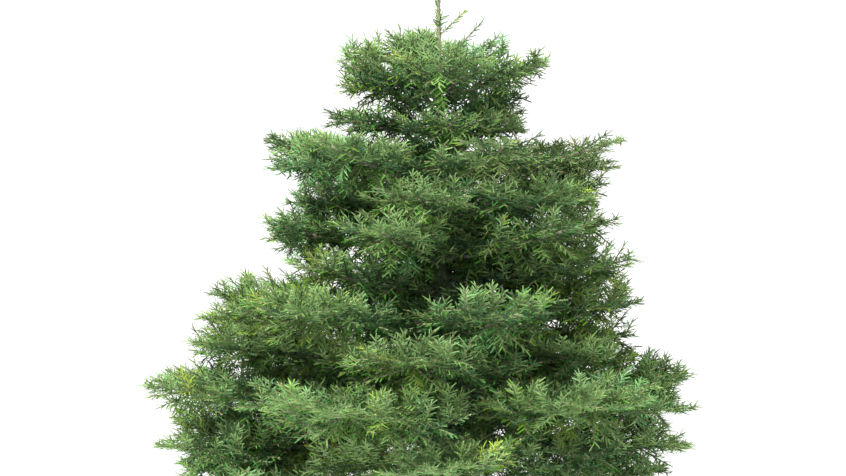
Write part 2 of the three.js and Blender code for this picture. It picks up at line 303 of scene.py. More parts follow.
def tube_triangles(count, rings, sides):
    """The triangles of closed tubes, whose points lie ring by ring, anticlockwise seen from the tip.
    Each tube's walls come first, then its foot and then its head."""
    ring, side = np.meshgrid(np.arange(rings - 1), np.arange(sides), indexing="ij")
    a = ring * sides + side
    b = ring * sides + (side + 1) % sides
    walls = np.stack([a, b, b + sides, a, b + sides, a + sides], axis=-1).reshape(-1, 3)
    fan = np.arange(1, sides - 1)
    last = (rings - 1) * sides
    foot = np.stack([0 * fan, fan + 1, fan], axis=-1)
    head = np.stack([0 * fan + last, last + fan, last + fan + 1], axis=-1)
    one = np.concatenate([walls, foot, head])
    return (one[None] + (np.arange(count) * rings * sides)[:, None, None]).reshape(-1, 3)


def smoothed(values, round_it, along_it):
    """Random values on a tube's rings, evened out round it and along it, with one unit of spread."""
    for _ in range(round_it):
        values = (np.roll(values, 1, 1) + 2 * values + np.roll(values, -1, 1)) / 4
    for _ in range(along_it):
        values = (np.roll(values, 1, 0) + 2 * values + np.roll(values, -1, 0)) / 4
    return values / values.std()


bark_material = bark("fir_bark")
chance = np.random.default_rng(CHANCE_SEED)
rise = np.linspace(0, 1, TRUNK_RINGS) ** RINGS_CLOSER_BELOW
trunk_heights = BUTT_HEIGHT + (TREE_HEIGHT - BUTT_HEIGHT) * rise
trunk_turns = 2 * math.pi * np.arange(TRUNK_SIDES) / TRUNK_SIDES
relief = smoothed(chance.standard_normal((TRUNK_RINGS, TRUNK_SIDES)), 2, 1) * BARK_RELIEF / 2
relief += smoothed(chance.standard_normal((TRUNK_RINGS, TRUNK_SIDES)), 30, 24) * BARK_RELIEF
girth = trunk_radius(trunk_heights)
collars = sum(COLLAR_SWELL * np.exp(-(((trunk_heights - z) / COLLAR_HEIGHT) ** 2)) for z in WHORL_HEIGHTS)
flute_fade = np.exp((BUTT_HEIGHT - trunk_heights) / FLUTE_HEIGHT)
flutes = FLUTE_DEPTH * np.cos(FLUTES * trunk_turns + 0.6)[None] * flute_fade[:, None]
slimming = (girth / BUTT_RADIUS)[:, None]
trunk_radii = girth[:, None] + (collars[:, None] + relief + flutes) * slimming
turning = np.stack([np.cos(trunk_turns), np.sin(trunk_turns), 0 * trunk_turns], axis=1)
trunk_line = np.array([trunk_middle(z) for z in trunk_heights])
trunk_points = (trunk_line[:, None] + turning * trunk_radii[:, :, None]).reshape(-1, 3)
trunk_faces = tube_triangles(1, TRUNK_RINGS, TRUNK_SIDES)
end_faces = TRUNK_SIDES - 2
sawn = np.zeros(len(trunk_faces))
sawn[-2 * end_faces : -end_faces] = 1
trunk_materials = [bark_material, sawn_face("sawn_butt")]
trunk = mesh_object("trunk_bark", trunk_materials, trunk_points, trunk_faces, sawn, True)
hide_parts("trunk")

# The resin blisters: small swellings full of clear resin in the bark of the lower trunk. Each is a flat lens
# in the bark's surface, wider round the stem than along it, and they are scattered at random.
BLISTERS = {"From": 0.047, "To": 0.62, "Density": 2600, "Width": 0.0062, "Height": 0.0038, "Proud": 0.0011}
SMALLEST_BLISTER = 0.35
BLISTER_SEED = 3


def blister_tree(material):
    """Lenses on a mesh between two heights, scattered and sized by the inputs that BLISTERS names."""
    tree = bpy.data.node_groups.new("resin blisters", "GeometryNodeTree")
    tree.interface.new_socket("Bark", in_out="INPUT", socket_type="NodeSocketGeometry")
    for name in BLISTERS:
        tree.interface.new_socket(name, in_out="INPUT", socket_type="NodeSocketFloat")
    tree.interface.new_socket("Blisters", in_out="OUTPUT", socket_type="NodeSocketGeometry")
    given = Socket(tree).node("NodeGroupInput", "Bark")
    place = given.node("GeometryNodeInputPosition", "Position")
    level = given.node("ShaderNodeSeparateXYZ", "Z", {"Vector": place})
    above = level.maths("GREATER_THAN", level, given.beside("From"))
    below = level.maths("LESS_THAN", level, given.beside("To"))
    scatter = {"Mesh": given, "Selection": above * below, "Seed": BLISTER_SEED}
    scatter["Density"] = given.beside("Density")
    points = given.node("GeometryNodeDistributePointsOnFaces", "Points", scatter)
    lens = given.node("GeometryNodeMeshUVSphere", "Mesh", {"Segments": 8, "Rings": 4, "Radius": 0.5})
    share = given.node("FunctionNodeRandomValue", 1, {2: SMALLEST_BLISTER, 3: 1.0, "Seed": BLISTER_SEED})
    size = {"X": given.beside("Width"), "Y": given.beside("Height"), "Z": given.beside("Proud") * 2}
    size = given.node("ShaderNodeCombineXYZ", "Vector", {name: share * value for name, value in size.items()})
    inputs = {"Points": points, "Instance": lens, "Rotation": points.beside("Rotation"), "Scale": size}
    copies = given.node("GeometryNodeInstanceOnPoints", "Instances", inputs)
    real = given.node("GeometryNodeRealizeInstances", "Geometry", {"Geometry": copies})
    smooth = given.node("GeometryNodeSetShadeSmooth", "Geometry", {"Geometry": real})
    finished = given.node("GeometryNodeSetMaterial", "Geometry", {"Geometry": smooth, "Material": material})
    tree.links.new(finished.output, tree.nodes.new("NodeGroupOutput").inputs["Blisters"])
    return tree


blister_host = placed("blister_host", trunk.data)
modifier = blister_host.modifiers.new("resin blisters", "NODES")
modifier.node_group = blister_tree(bark_material)
for socket in modifier.node_group.interface.items_tree:
    if socket.name in BLISTERS:
        modifier[socket.identifier] = BLISTERS[socket.name]
evaluated = blister_host.evaluated_get(bpy.context.evaluated_depsgraph_get())
blisters = placed("resin_blisters", bpy.data.meshes.new_from_object(evaluated))
bpy.data.objects.remove(blister_host)
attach(blisters, "root")

# The stubs: where the lowest whorl and a few twigs were sawn off so that the trunk fits its stand. Each is
# a short round of wood in its own collar of bark, cut square across.
STUB_SIDES = 14
STUB_RISE = 0.12
# How far each ring stands out of the bark, and how wide it is for the stub's radius.
STUB_PROFILE = ((-9, 1.75), (0.4, 1.6), (2.6, 1.12), (7, 1.0))
# Height, azimuth and radius.
STUBS = ((152, 20, 8.5), (147, 88, 7), (158, 163, 8), (149, 236, 7.5), (155, 301, 8.5))
STUBS += ((226, 48, 4), (262, 199, 4.5))


def unit(vectors):
    """One vector or many, brought to a length of 1."""
    return vectors / np.linalg.norm(vectors, axis=-1, keepdims=True)


def pointing(azimuth, rise):
    """The direction at an azimuth in degrees that rises by so much for each unit on the level."""
    turn = math.radians(azimuth)
    return unit(np.array([math.cos(turn), math.sin(turn), rise]))


def square_to(along, guide=UP):
    """The two directions square to each line: one across it and square to the guide, and one over it."""
    across = unit(np.cross(guide, along))
    return across, np.cross(along, across)


def ring_round(along, sides, first=0.0, guide=UP):
    """The directions of a ring's corners round each line."""
    across, over = square_to(along, guide)
    turns = first + 2 * math.pi * np.arange(sides)[:, None] / sides
    return np.cos(turns) * across[..., None, :] + np.sin(turns) * over[..., None, :]


def joined(parts):
    """Points and triangles of several meshes as one."""
    starts = np.cumsum([0] + [len(points) for points, _ in parts])
    points = np.concatenate([points for points, _ in parts])
    triangles = np.concatenate([triangles + start for (_, triangles), start in zip(parts, starts)])
    return points, triangles


stub_parts = []
for z, azimuth, radius in STUBS:
    out = pointing(azimuth, STUB_RISE)
    ring = ring_round(out, STUB_SIDES)
    foot = trunk_middle(z) + out * trunk_radius(z)
    rings = [foot + out * proud + ring * radius * width for proud, width in STUB_PROFILE]
    stub_parts.append((np.concatenate(rings), tube_triangles(1, len(STUB_PROFILE), STUB_SIDES)))
stub_slots = np.zeros((len(STUBS), len(stub_parts[0][1])))
stub_slots[:, 2 - STUB_SIDES :] = 1
stubs = mesh_object("cut_stubs", trunk_materials, *joined(stub_parts), stub_slots.ravel())

# The boughs: tiers of tapering limbs, a whorl for each year's growth and weaker ones between the whorls. They
# leave the trunk in a swollen collar, sag a little, and lift their tips, by the source's rule and numbers.
SEED = 11
TIER_SEEDS = 1000
BOUGH_SEEDS = 37
WEAK_SEEDS = 9000
FINE_SEEDS = 500
# Name, height, reach to the left and to the right, rise of the tip, lift at the back, sag, and azimuths.
TIERS = (
    ("whorl_1", 1500, 309, 336, 120, 45, 8, (352, 68, 112, 186, 268)),
    ("between_1", 1386, 358, 262, 66, 0, 6, (18, 166, 276)),
    ("whorl_2", 1266, 535, 550, 118, -30, 18, (350, 50, 110, 170, 230, 290)),
    ("between_2", 1152, 460, 530, 80, 10, 8, (20, 142, 262)),
    ("whorl_3", 1038, 535, 560, 100, 20, 10, (10, 70, 128, 190, 250, 312)),
    ("between_3", 939, 480, 590, 80, 10, 8, (340, 100, 212)),
    ("whorl_4", 822, 725, 605, 84, 20, 14, (346, 46, 106, 167, 226, 286)),
    ("between_4", 717, 755, 595, 66, 10, 12, (16, 100, 192, 262)),
    ("whorl_5", 597, 885, 765, 54, 20, 18, (8, 68, 130, 184, 248, 310)),
    ("between_5", 486, 848, 755, 12, 20, 16, (342, 80, 164, 270)),
    ("whorl_6", 366, 800, 700, 16, 10, 18, (4, 76, 142, 208, 282)),
)
BACK_HIGHER = 27
BOUGH_JITTER = 8
BOUGH_BEND = 26
BARE_SHARE = 0.3
WOOD_RADIUS = 3
WOOD_SWELL = 0.0105
WOOD_END = 0.9
LIMB_SIDES = 10
LIMB_STEP = 22
LIMB_LUMPS = 3
LIMB_RELIEF = 0.035
COLLAR_SHARE = 0.45
COLLAR_LENGTH = 22
# Thin boughs that the source leaves out, which close the crown between its masses: the tier, the azimuth,
# the share from which each is clothed, and how far its tip droops below the tier.
WEAK_BOUGHS = (
    ("between_1", 350, 0.3, 40),
    ("whorl_2", 22, 0.45, 75),
    ("whorl_2", 208, 0.35, 75),
    ("between_2", 186, 0.35, 35),
    ("whorl_3", 168, 0.45, 60),
    ("between_3", 40, 0.15, 0),
    ("whorl_4", 190, 0.5, 50),
    ("between_4", 345, 0.35, 45),
    ("whorl_5", 350, 0.55, 60),
    ("between_5", 184, 0.4, 25),
    ("whorl_6", 176, 0.4, -20),
    ("between_3", 70, 0.1, 10),
    ("between_2", 318, 0.25, 20),
    ("whorl_1", 200, 0.2, 75),
    ("between_1", 32, 0.3, -50),
)
WEAK_SHARE = 0.6
# How much deeper the green of a bough is than that of the others, or below 0 how much paler.
BOUGH_SHADES_AND_TONES = {
    ("whorl_1", 268): -0.9,
    ("whorl_1", 186): -0.5,
    ("between_1", 276): 0.8,
    ("between_1", 32): 0.8,
    # Painted shade: the boughs of whorl_4 at the front get deeper greens, for a dark band across the crown.
    ("whorl_4", 286): 1.3,
    ("whorl_4", 226): 0.7,
}


def seeded(seed):
    """The same numbers each time, from 0 to 1, for one seed."""
    state = seed

    def following():
        nonlocal state
        state = state * 16807 % 2147483647
        return state / 2147483647

    for _ in range(4):
        following()
    return following


def drawn(span, random):
    """A number between the two of a span."""
    return span[0] + (span[1] - span[0]) * random()


class Tier(namedtuple("Tier", "name height left right tip_rise back_lift sag azimuths")):
    """A whorl, or the weaker boughs between two: where it leaves the trunk, and how far it reaches."""

    def reach(self, turn):
        return (self.right + self.left) / 2 + (self.right - self.left) / 2 * np.cos(turn)

    def level(self, turn, share):
        lift = self.tip_rise + self.back_lift * np.maximum(0, np.sin(turn))
        return self.height + BACK_HIGHER * np.sin(turn) + lift * share - 4 * self.sag * share * (1 - share)


class Bough:
    """One bough's line, from the trunk's middle at 0 to its furthest needle at 1."""

    def __init__(self, tier, azimuth, seed, fine_seed, clothed_from=0, droop=0, weak=False):
        self.tier = tier
        self.azimuth = azimuth
        self.clothed_from = clothed_from
        self.droop = droop
        self.weak = weak
        self.tone = BOUGH_SHADES_AND_TONES.get((tier.name, azimuth), 0)
        self.turn = math.radians(azimuth)
        self.reach = float(tier.reach(self.turn))
        self.middle = trunk_middle(tier.height)
        self.random = seeded(seed)
        self.fine = seeded(fine_seed + FINE_SEEDS)
        self.shift = drawn((-BOUGH_JITTER, BOUGH_JITTER), self.random)
        self.bend = drawn((-BOUGH_BEND, BOUGH_BEND), self.random)

    def point(self, share):
        out = self.reach * share
        aside = 4 * self.bend * share**2 * (1 - share)
        x = self.middle[0] + out * math.cos(self.turn) - aside * math.sin(self.turn)
        y = self.middle[1] + out * math.sin(self.turn) + aside * math.cos(self.turn)
        level = self.tier.level(self.turn, share) - self.droop * share**2
        return np.array([x, y, level + self.shift * (1 - share)])

    def tangent(self, share):
        return unit(self.point(min(1, share + 0.0001)) - self.point(max(0, share - 0.0001)))

    def wood_radius(self, share):
        return (WOOD_RADIUS + WOOD_SWELL * self.reach * (1 - share)) * (WEAK_SHARE if self.weak else 1)


def limb(bough, start, end):
    """A bough's wood between two shares of its reach, with its collar and the bark's relief."""
    rings = max(3, round((end - start) * bough.reach / LIMB_STEP) + 1)
    shares = np.linspace(start, end, rings)
    path = np.array([bough.point(share) for share in shares])
    along = np.array([bough.tangent(share) for share in shares])
    bare = np.array([bough.wood_radius(share) for share in shares])
    from_trunk = shares * bough.reach - trunk_radius(bough.tier.height)
    swell = 1 + COLLAR_SHARE * np.exp(-np.maximum(0, from_trunk) / COLLAR_LENGTH)
    turns = 2 * math.pi * np.arange(LIMB_SIDES) / LIMB_SIDES
    lumps = LIMB_RELIEF * np.sin(LIMB_LUMPS * turns[None] + chance.uniform(0, 6, rings)[:, None])
    radii = bare[:, None] * (swell[:, None] + lumps)
    points = path[:, None] + ring_round(along, LIMB_SIDES) * radii[:, :, None]
    return points.reshape(-1, 3), tube_triangles(1, rings, LIMB_SIDES)


tiers = [Tier(*numbers) for numbers in TIERS]
lowest = tiers[-1]
boughs, weak_boughs = [], []
for tier_number, tier in enumerate(tiers):
    limbs = []
    in_trunk = trunk_radius(tier.height) / 2
    for i, azimuth in enumerate(tier.azimuths):
        clothed_from = BARE_SHARE if tier is lowest else 0
        seed = SEED + TIER_SEEDS * tier_number + BOUGH_SEEDS * i
        bough = Bough(tier, azimuth, seed, seed, clothed_from)
        boughs.append((bough, f"{tier.name}_foliage_{i + 1}"))
        start = in_trunk / bough.reach
        if tier is lowest:
            name = f"{tier.name}_bough_{i + 1}"
            piece = mesh_object(f"{name}_bark", [bark_material], *limb(bough, start, BARE_SHARE), smooth=True)
            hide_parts(name)
            start = BARE_SHARE - 1 / bough.reach
        limbs.append(limb(bough, start, WOOD_END))
    for i, (name, azimuth, clothed_from, droop) in enumerate(WEAK_BOUGHS):
        if name == tier.name:
            seed, fine_seed = (SEED + WEAK_SEEDS + BOUGH_SEEDS * place for place in (i, len(weak_boughs)))
            bough = Bough(tier, azimuth, seed, fine_seed, clothed_from, droop, True)
            weak_boughs.append((bough, None))
            limbs.append(limb(bough, in_trunk / bough.reach, WOOD_END))
    piece = mesh_object(f"{tier.name}_limbs", [bark_material], *joined(limbs), smooth=True)

# The shoots: each bough carries pairs of side shoots, these carry finer ones at both sides, and the strongest
# of them a third order. Each ends in a brown bud. They are olive brown when young and grey brown later, in
# three shades dealt out by shoot, as a pattern would be lost on pieces so small.
YOUNG_SHOOT = (0.095, 0.105, 0.038)
OLD_SHOOT = (0.062, 0.06, 0.035)
BUD_BROWN = (0.165, 0.095, 0.042)
SHOOT_SHADES = (0.66, 0.82, 1.0)
SHOOT_SIDES = 3
SHOOT_RADIUS = 1.25
SHOOT_SWELL = 0.009
BUD_RADIUS = 1.8
BUD_LENGTH = 6
# The source's side shoots: where they stand on a bough, how long they are and which way they point.
STEM_END = 0.84
FIRST_PAIR = 0.2
PAIR_SPACING = 105
PAIR_PLACE = (0.3, 0.6)
SIDE_SHARE = 0.62
SIDE_EXTRA = 80
SHORTEST_SPRAY = 70
RETRY_SHARE = 0.96
SIDE_ANGLE = (50, 66)
ANGLE_LOSS = 14
CLIMB = (-0.05, 0.15)
ROLL = (0.8, 1.1)
TIP_ROLL = (-0.45, 0.45)
SPRAY_WIDTH = 72
SPRAY_SLIM = 0.32
SPRAY_THIN = 2
SPRAY_THICK = 0.011
LONG_SPRAY = 230
LONG_SIDE = ((0.33, 0.95), (0.46, 0.5), (0.58, 1), (0.69, 0.46), (0.81, 0.72))
SHORT_SIDE = ((0.4, 1), (0.57, 0.5), (0.73, 0.76))
INNER_SIDE = ((0.42, 1),)
INNER_SHARE = 0.45
# Their space is a sector between the neighbours and a layer between the tiers, clear of the leader.
SECTOR_MOST = 48
SECTOR_MARGIN = 1
LAYER_MARGIN = 1.5
OPEN_ABOVE = 130
OPEN_BELOW = 70
LEADER_FOOT = 1588
LEADER_ROOM = 42
# The finer shoots may cross the layer's edges a little, which swing up and down so that no open band is left.
# For each tier from the top: the share over which its layer narrows to the tips, and its height above the
# boughs, first on the left and then on the right.
LAYER_OVERLAP = 32
LAYER_SWING = 20
SWING_LENGTH = 42
TIP_SHAPES = (
    ((0.24, 165), (0.32, 165)),
    ((0.24, 30), (0.32, 60)),
    ((0.24, 62), (0.14, -8)),
    *[((0.24, 100), (0.11, 100))] * 3,
    ((0.12, 70), (0.04, 100)),
    ((0.05, 100), (0.04, 100)),
    ((0.14, 70), (0.04, 100)),
    ((0.05, 100), (0.2, 100)),
    ((0.05, 100), (0.25, 60)),
)
POINT_BELOW = 95
POINT_ROOM = 9
CREST_LEFT = 165
CREST_RIGHT = 58
CREST_NOTCH = 42
CREST_PEAK = 0.54
CREST_WAVE = 0.4
CREST_TURN = 0.35
WEAK_ROOM = 80
WEAK_POINT = 0.2
WEAK_SECTOR = (-30, 30)
# The finer shoots themselves. A tone is a place in the greens from fresh at 0 to the deepest at 4.
FINE_SPACING = 47
FINE_PLACE = (0.2, 0.8)
FINE_FROM = 0.1
FINE_RUN = 0.82
BROAD_AT_FOOT = 0.62
BROADENING = 1.4
BROAD_AT_TIP = 0.25
NARROWING = 2.6
FINE_ANGLE = (43, 57)
FINE_REACH = (0.8, 1.15)
FINE_SHORTEST = 26
FINE_RETRY = 0.82
SPREAD = (-1.1, 1.6)
PLUME = (0.05, 0.65)
HANGING = 0.4
LIFT = (0.04, 0.09)
TONE = (0.9, 3.3)
TONE_INSIDE = 1.9
SHADE = (-0.3, 0.3)
THIRD_PALER = 0.3
# Painted light and shade: how much paler a finer shoot's greens turn as it stands above its spray, and deeper
# as it hangs below.
CREST_LIGHT = 1.4
AXIS_SHORTER = 14
THIRD_FROM = 66
THIRD_ANGLE = (46, 58)
THIRD_PLACE = (0.35, 0.65)
THIRD_SHARE = (0.34, 0.48)
WOOD_CLOTHED_FROM = 0.25
WOOD_SPACING = 44
WOOD_SHOOTS = 6
WOOD_SHOOT_ANGLE = (46, 72)
WOOD_SHOOT_LENGTH = 135
WOOD_SHOOT_SHARE = 0.32
WOOD_SHOOT_STRETCH = (0.55, 1.05)
WOOD_SHOOT_LIFT = 0.06
WOOD_TONE = 2.2
WOOD_TONE_INSIDE = 1.8
WOOD_SHADE = (-0.5, 0.5)


def turned(vector, axis, angle):
    """A vector turned about an axis of unit length."""
    part = axis * np.dot(axis, vector) * (1 - math.cos(angle))
    return vector * math.cos(angle) + np.cross(axis, vector) * math.sin(angle) + part


def sector_of(azimuths, azimuth):
    """The azimuths halfway to the boughs on either side, as offsets from this one."""
    ahead = [(other - azimuth + 720) % 360 for other in azimuths if other != azimuth]
    gaps = (360 - max(ahead), min(ahead))
    low, high = (min(degrees / 2, SECTOR_MOST) - SECTOR_MARGIN for degrees in gaps)
    return -low, high


def crest(turn, share):
    """How high the finer shoots rise above the top tier: full on the left, in two low peaks on the right."""
    right = np.clip(0.5 + 0.9 * np.cos(turn - CREST_TURN), 0, 1)
    peaks = CREST_RIGHT + CREST_NOTCH * np.cos(2 * math.pi * (share * np.cos(turn) - CREST_PEAK) / CREST_WAVE)
    return CREST_LEFT + (peaks - CREST_LEFT) * right


def swing(turn, distance, number):
    """How far the edge between two tiers' layers swings up and down for the finer shoots."""
    along = np.sin(distance / SWING_LENGTH + 4 * turn + 1.9 * number)
    return LAYER_SWING * along * np.cos(3 * turn - 1.3 * number)


def layer_of(bough, turn, distance, fine):
    """The bottom and the top of a bough's layer at some places, halfway to the tiers below and above."""
    number = tiers.index(bough.tier)
    share = distance / bough.tier.reach(turn)
    level = bough.tier.level(turn, share)
    if bough.weak:
        level = level - bough.droop * share**2
        room = WEAK_ROOM * np.clip((1 - share) / WEAK_POINT, 0, 1) + POINT_ROOM
        return level - room, level + room
    top = level + (crest(turn, share) if fine else OPEN_ABOVE)
    bottom = level - OPEN_BELOW - LAYER_OVERLAP * fine
    if number:
        above = tiers[number - 1]
        top = (above.level(turn, distance / above.reach(turn)) + level) / 2 - LAYER_MARGIN
        top = top + fine * (LAYER_OVERLAP + swing(turn, distance, number))
    if bough.tier is not lowest:
        below = tiers[number + 1]
        bottom = (below.level(turn, distance / below.reach(turn)) + level) / 2 + LAYER_MARGIN
        bottom = bottom + fine * (swing(turn, distance, number + 1) - LAYER_OVERLAP)
    if fine:
        left, right = np.array(TIP_SHAPES[number]).reshape(2, 2, 1)
        narrowing, height = (left + right) / 2 + (right - left) / 2 * np.cos(turn)
        point = np.clip((1 - share) / narrowing, 0, 1)
        top = np.minimum(top, level + height * point + POINT_ROOM)
        bottom = np.maximum(bottom, level - POINT_BELOW * point - POINT_ROOM)
    return bottom, top


def in_space(points, bough, sector, fine=False):
    """Whether all of the points are in the space of a bough's foliage: its sector, reach and layer."""
    x, y, z = (points - bough.middle * (1, 1, 0)).T
    distance = np.hypot(x, y)
    turn = np.arctan2(y, x)
    offset = (np.degrees(turn - bough.turn) + 900) % 360 - 180
    bottom, top = layer_of(bough, turn, distance, fine)
    inside = (offset >= sector[0]) & (offset <= sector[1]) & (z > bottom) & (z < top)
    inside &= (distance >= LEADER_ROOM) | (z <= LEADER_FOOT)
    return bool(np.all(inside & (distance / bough.tier.reach(turn) <= 1)))


def blade_points(root, along, length, roll, inner):
    """The corners of the toothed blade that stands for a side shoot in the source, but for its root."""
    half_width = min(SPRAY_WIDTH, length * SPRAY_SLIM)
    half_thickness = max(SPRAY_THIN, length * SPRAY_THICK)
    across = turned(square_to(along)[0], along, roll)
    lift = np.cross(along, across)
    long = length >= LONG_SPRAY and not inner
    side = INNER_SIDE if inner else LONG_SIDE if long else SHORT_SIDE
    points = [root + along * u * length + across * v * half_width for u, v in side]
    points.append(root + along * length)
    points += [root + along * u * length - across * v * half_width for u, v in reversed(side)]
    ridge = (0.2, 0.66) if long else (0.5,)
    points += [root + along * u * length + lift * half_thickness for u in ridge]
    points += [root + along * u * length - lift * half_thickness for u in ridge]
    return np.array(points)


class Shoots:
    """The shoots of one tier, each a line that starts straight and bends up towards its tip."""

    def __init__(self):
        self.rows = []

    def add(self, root, along, length, lift, order, tone, wooded=True):
        self.rows.append((root, along, length, lift, order, tone, wooded))

    def arrays(self):
        """The columns of all rows, once they are complete."""
        columns = [np.array(column) for column in zip(*self.rows)]
        self.roots, self.along, self.lengths, self.lifts, self.orders, self.tones, self.wooded = columns


class Growth:
    """One bough's foliage as it grows into the shoots of its tier, within its sector and layer."""

    def __init__(self, shoots, bough):
        self.shoots = shoots
        self.bough = bough
        self.sector = WEAK_SECTOR if bough.weak else sector_of(bough.tier.azimuths, bough.azimuth)
        self.fine = bough.fine

    def add_if_clear(self, root, along, length, lift, order, tone):
        """Adds a shoot, shortened until it keeps to the bough's space, or skips it. Returns its length."""
        while length >= FINE_SHORTEST:
            tip = root + along * length + UP * lift * length
            if in_space(np.array([tip]), self.bough, self.sector, True):
                self.shoots.add(root, along, length, lift, order, tone)
                return length
            length *= FINE_RETRY
        return 0

    def fill_spray(self, root, along, length, roll, depth):
        """A side shoot with the finer shoots on it, which fill the outline of its blade on both sides."""
        fine = self.fine
        half_width = min(SPRAY_WIDTH, length * SPRAY_SLIM)
        tone = drawn(TONE, fine) + self.bough.tone + TONE_INSIDE * depth
        lift = drawn(LIFT, fine)
        plume = drawn(PLUME, fine)
        self.shoots.add(root, along, length - AXIS_SHORTER, 0.0, 1, tone)
        level_across = square_to(along)[0]
        count = max(2, round(length / FINE_SPACING))
        for i in range(count):
            for side in (0, 1):
                share = FINE_FROM + FINE_RUN * (i + drawn(FINE_PLACE, fine)) / count
                width = half_width * min(1, BROAD_AT_FOOT + BROADENING * share)
                width *= min(1, BROAD_AT_TIP + NARROWING * (1 - share))
                angle = math.radians(drawn(FINE_ANGLE, fine))
                spread = abs(roll) * drawn(SPREAD, fine)
                out = turned(level_across, along, math.pi - spread if side else spread)
                aim = math.cos(angle) * along + math.sin(angle) * out
                start = root + along * share * length
                stretch = 1 + (plume if spread > 0 else HANGING) * abs(math.sin(spread))
                reach = width / math.sin(angle) * drawn(FINE_REACH, fine) * stretch
                # Painted light and shade: paler greens on shoots that stand above the spray, deeper on those
                # that hang below.
                shade = tone + drawn(SHADE, fine) - CREST_LIGHT * math.sin(spread)
                grown = self.add_if_clear(start, aim, reach, lift, 2, shade)
                if grown > THIRD_FROM:
                    self.add_third_order(start, aim, unit(np.cross(along, out)), grown, lift, shade)

    def add_third_order(self, start, aim, axis, length, lift, shade):
        """A pair of twigs on a finer shoot, turned about an axis to both sides of it."""
        for hand in (-1, 1):
            twig_aim = unit(turned(aim, axis, hand * math.radians(drawn(THIRD_ANGLE, self.fine))))
            twig_root = start + aim * length * drawn(THIRD_PLACE, self.fine)
            twig_length = length * drawn(THIRD_SHARE, self.fine)
            self.add_if_clear(twig_root, twig_aim, twig_length, lift, 3, shade - THIRD_PALER)

    def grow(self):
        """All shoots of the bough. Those that are blades in the source take its draws, in their order."""
        bough, random = self.bough, self.bough.random
        tip_root = bough.point(STEM_END - 0.03)
        to_tip = bough.point(1) - tip_root
        self.fill_spray(tip_root, unit(to_tip), np.linalg.norm(to_tip), drawn(TIP_ROLL, random), 0.0)
        first = max(bough.clothed_from + 0.05, FIRST_PAIR)
        pairs = max(2, math.floor((STEM_END - first) * bough.reach / PAIR_SPACING + 0.5))
        for i in range(pairs):
            for hand in (-1, 1):
                share = first + (STEM_END - first) * (i + drawn(PAIR_PLACE, random)) / pairs
                root = bough.point(share)
                length = SIDE_SHARE * (1 - share) * bough.reach + SIDE_EXTRA
                while length > SHORTEST_SPRAY:
                    angle = math.radians(drawn(SIDE_ANGLE, random) - ANGLE_LOSS * share)
                    along = turned(bough.tangent(share), UP, hand * angle)
                    along[2] += drawn(CLIMB, random)
                    along = unit(along)
                    roll = hand * drawn(ROLL, random)
                    corners = blade_points(root, along, length, roll, share < INNER_SHARE)
                    if in_space(corners, bough, self.sector):
                        self.fill_spray(root, along, length, roll, 1 - share)
                        break
                    length *= RETRY_SHARE
        self.clothe_wood(max(bough.clothed_from, 0.1))

    def clothe_wood(self, start):
        """The needles on the bough's own wood, and short shoots that stand out of it between the pairs."""
        bough, fine = self.bough, self.fine
        steps = round((STEM_END - start) * bough.reach / WOOD_SPACING)
        for i in range(steps):
            share = start + (STEM_END - start) * i / steps
            root = bough.point(share)
            span = bough.point(share + (STEM_END - start) / steps) - root
            along = unit(span)
            tone = WOOD_TONE + WOOD_TONE_INSIDE * (1 - share)
            if share > WOOD_CLOTHED_FROM:
                self.shoots.add(root, along, np.linalg.norm(span), 0.0, 0, tone, False)
            for number in range(WOOD_SHOOTS):
                turn = 2 * math.pi * (number + fine()) / WOOD_SHOOTS
                out = math.cos(turn) * square_to(along)[0] + math.sin(turn) * UP
                angle = math.radians(drawn(WOOD_SHOOT_ANGLE, fine))
                aim = unit(math.cos(angle) * along + math.sin(angle) * out)
                longest = min(WOOD_SHOOT_LENGTH, WOOD_SHOOT_SHARE * bough.reach)
                length = longest * drawn(WOOD_SHOOT_STRETCH, fine)
                place = root + span * fine()
                self.add_if_clear(place, aim, length, WOOD_SHOOT_LIFT, 2, tone + drawn(WOOD_SHADE, fine))


def shoot_tubes(shoots):
    """The wood and the bud of each shoot, as one three-sided tube: points, triangles and material numbers."""
    wooded = shoots.wooded
    roots, along = shoots.roots[wooded], shoots.along[wooded]
    lengths, lifts = shoots.lengths[wooded], shoots.lifts[wooded]
    count = len(lengths)
    aim = unit(along + UP * (2 * lifts)[:, None])
    ends = roots + along * lengths[:, None] + UP * (lifts * lengths)[:, None]
    path = np.stack([roots, ends, ends + aim * BUD_LENGTH], axis=1)
    foot = SHOOT_RADIUS + SHOOT_SWELL * lengths
    radii = np.stack([foot, np.full(count, BUD_RADIUS), np.full(count, 0.25)], axis=1)
    ring = ring_round(aim, SHOOT_SIDES, math.pi / 2)
    points = path[:, :, None] + ring[:, None] * radii[:, :, None, None]
    triangles = tube_triangles(count, path.shape[1], SHOOT_SIDES)
    is_bud = np.zeros(len(triangles) // count, bool)
    is_bud[2 * SHOOT_SIDES : 4 * SHOOT_SIDES] = True
    is_bud[2 - SHOOT_SIDES :] = True
    shades = len(SHOOT_SHADES)
    own = np.where(shoots.orders[wooded] > 1, 0, shades) + np.arange(count) % shades
    slots = np.where(is_bud[None], 2 * shades, own[:, None])
    return points.reshape(-1, 3), triangles, slots.ravel()


def plain_material(name, colour, roughness, **plain):
    """A material with one base colour all over."""
    material, shader, _ = new_material(name, roughness, **plain)
    shader.inputs["Base Color"].default_value = (*colour, 1)
    return material


shoot_materials = []
for age, colour in (("young", YOUNG_SHOOT), ("old", OLD_SHOOT)):
    for number, shade in enumerate(SHOOT_SHADES):
        tint = tuple(part * shade for part in colour)
        shoot_materials.append(plain_material(f"{age}_shoot_{number + 1}", tint, 0.75))
shoot_materials.append(plain_material("bud", BUD_BROWN, 0.45))

